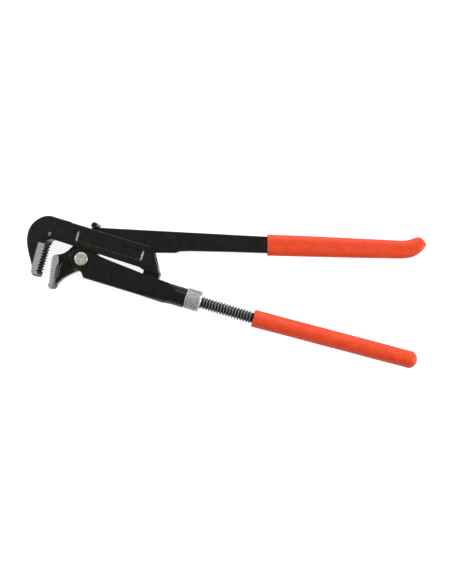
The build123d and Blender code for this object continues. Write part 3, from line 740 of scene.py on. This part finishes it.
def grip_ring(station, inset):
    """One rounded section of the upper grip."""
    top, bottom = edge_at(station, 1) - inset, edge_at(station, 2) + inset
    fade = max(0.0, (station - FADE_START) / FADE_RUN)
    half = (GRIP_HALF - inset) * (1 - fade**FADE_POWER) ** 0.5
    ring = []
    for k in range(RING_STEPS):
        angle = tau * k / RING_STEPS
        y, z = sin(angle), cos(angle)
        y, z = (abs(part) ** (2 / SQUARENESS) * (1 if part > 0 else -1) for part in (y, z))
        height = (top + bottom) / 2 + (top - bottom) / 2 * y
        ring.append((station * MM, height * MM, half * z * MM))
    return ring


stations = [(184.2, 0.9), (184.25, 0.45), (184.5, 0.15), (185.0, 0.0), (186.2, 0.0), (187.0, 0.12)]
stations += [(187.0 + 2.5 * k, 0.12) for k in range(1, 56)]
stations += [(326.0 + 0.56 * k, 0.12) for k in range(30)] + [(342.5, 0.12), (342.78, 0.2)]
built = bmesh.new()
rings = [[built.verts.new(corner) for corner in grip_ring(*station)] for station in stations]
for low, high in zip(rings, rings[1:]):
    for k in range(RING_STEPS):
        n = (k + 1) % RING_STEPS
        built.faces.new((low[k], high[k], high[n], low[n]))
for ring in (rings[0], rings[-1]):
    built.faces.new(ring)
bmesh.ops.recalc_face_normals(built, faces=built.faces)
upper_mesh = bpy.data.meshes.new("dipped_upper_grip")
built.to_mesh(upper_mesh)
built.free()
upper = new_object("dipped_upper_grip", upper_mesh)
finish_piece(upper, "lever", ["upper_grip"], "grip", Matrix.Translation(PIVOT), 60)

for node_name, material_name in (
    ("housing", "sheet"),
    ("hook_jaw", "hook"),
    ("lever", "lever"),
    ("guide_pin", "sheet"),
    ("spindle_bush", "bush"),
    ("nut_snap_ring", "spring"),
    ("spindle_lock_pin", "spring"),
):
    repaint(node_name, material_name)

# ---------------------------------------------------------------- floor, light and camera
VIEW_SHIFT = Vector((-1.72 * MM, 0.19 * MM, 0.0))
VIEW_HEIGHT = 714.0 * MM


def pale_floor():
    mesh = bpy.data.meshes.new("floor")
    half = 3.0
    corners = [(-half, -half, 0), (half, -half, 0), (half, half, 0), (-half, half, 0)]
    mesh.from_pydata(corners, [], [(0, 1, 2, 3)])
    floor = new_object("floor", mesh)
    made, tree, shader, place = new_material("pale_paper")
    grain = tree.noise(place, 40.0, 2.0)
    tree.join(tree.mix(grain, (0.42, 0.42, 0.42, 1), (0.45, 0.45, 0.45, 1)), shader.inputs["Base Color"])
    shader.inputs["Roughness"].default_value = 0.9
    shader.inputs["Specular IOR Level"].default_value = 0.1
    shader.inputs["Emission Color"].default_value = (1, 1, 1, 1)
    shader.inputs["Emission Strength"].default_value = 0.9
    mesh.materials.append(made)
    floor.location.z = cad_low.z - 0.2 * MM


def soft_light(name, place, size, power, aim=(0, 0, 0)):
    light = bpy.data.lights.new(name, "AREA")
    light.shape, light.size, light.size_y = "RECTANGLE", size[0], size[1]
    light.energy = power
    lamp = bpy.data.objects.new(name, light)
    lamp.location = place
    lamp.rotation_euler = (Vector(aim) - Vector(place)).to_track_quat("-Z", "Y").to_euler()
    bpy.context.scene.collection.objects.link(lamp)


pale_floor()
soft_light("far_box", (-0.1, 1.2, 0.8), (1.8, 0.5), 22.0)
soft_light("right_box", (1.2, -0.3, 0.66), (0.45, 0.6), 12.0)
soft_light("left_box", (-1.4, 0.3, 0.68), (0.45, 0.6), 12.0)
soft_light("left_strip", (-1.0, -0.45, 0.12), (0.7, 0.14), 4.0)
soft_light("right_strip", (1.0, -0.1, 0.12), (0.5, 0.14), 2.5)

world = bpy.data.worlds.new("studio")
bpy.context.scene.world = world
world.use_nodes = True
world.node_tree.nodes["Background"].inputs["Color"].default_value = (1, 1, 1, 1)
world.node_tree.nodes["Background"].inputs["Strength"].default_value = 0.16

camera_data = bpy.data.cameras.new("camera")
camera_data.lens, camera_data.sensor_width = 44.0, 36.0
camera = bpy.data.objects.new("camera", camera_data)
camera.location = VIEW_SHIFT + Vector((0, 0, MID + VIEW_HEIGHT))
bpy.context.scene.collection.objects.link(camera)
bpy.context.scene.camera = camera
bpy.context.scene.view_settings.view_transform = "Standard"

bpy.context.view_layer.update()
